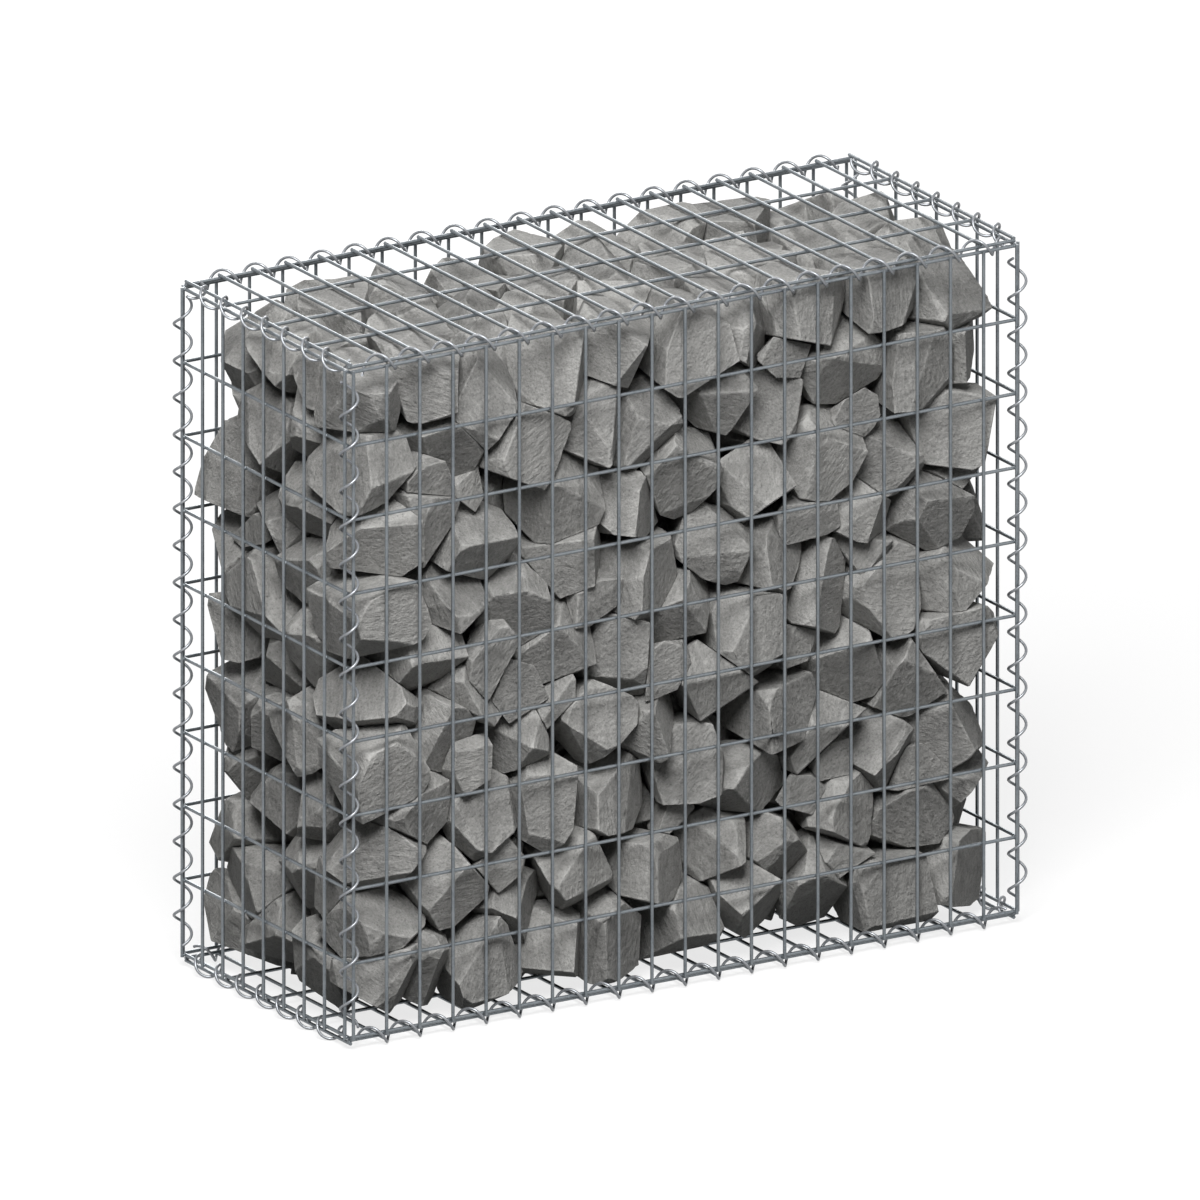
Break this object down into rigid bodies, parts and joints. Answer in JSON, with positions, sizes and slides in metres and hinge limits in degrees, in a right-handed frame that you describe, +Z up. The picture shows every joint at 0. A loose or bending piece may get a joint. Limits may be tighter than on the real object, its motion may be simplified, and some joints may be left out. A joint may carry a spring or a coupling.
{
  "type": "gabion wall",
  "caption": "Rectangular gabion basket of welded wire mesh, laced along its edges with wire coils and filled with broken stone, for a free-standing or retaining wall.",
  "frame": {"origin": "bottom centre of the basket, on the ground that its lowest coils stand on", "axes": "+X along the wall's length, +Y from the front to the back, +Z up"},
  "size_m": [1.0338, 0.436, 0.9349],
  "materials": {
    "mesh_wire": "hot-dip galvanised steel wire, dull blue-grey with faint spangle",
    "coil_wire": "galvanised spring wire, a little brighter than the mesh",
    "stone": "freshly broken mid-grey quarry stone, matte with fine streaky grain"
  },
  "bodies": {
    "root": {"front_panel": "mesh_wire", "back_panel": "mesh_wire", "left_panel": "mesh_wire", "right_panel": "mesh_wire", "lid_panel": "mesh_wire", "base_panel": "mesh_wire", "coil_front_left": "coil_wire", "coil_front_right": "coil_wire", "coil_back_left": "coil_wire", "coil_back_right": "coil_wire", "coil_top_front": "coil_wire", "coil_top_back": "coil_wire", "coil_top_left": "coil_wire", "coil_top_right": "coil_wire", "coil_base_front": "coil_wire", "coil_base_back": "coil_wire", "coil_base_left": "coil_wire", "coil_base_right": "coil_wire", "stones_course_1": "stone", "stones_course_2": "stone", "stones_course_3": "stone", "stones_course_4": "stone", "stones_course_5": "stone", "stones_course_6": "stone", "stones_course_7": "stone", "stones_course_8": "stone", "stones_course_9": "stone"}
  },
  "joints": []
}
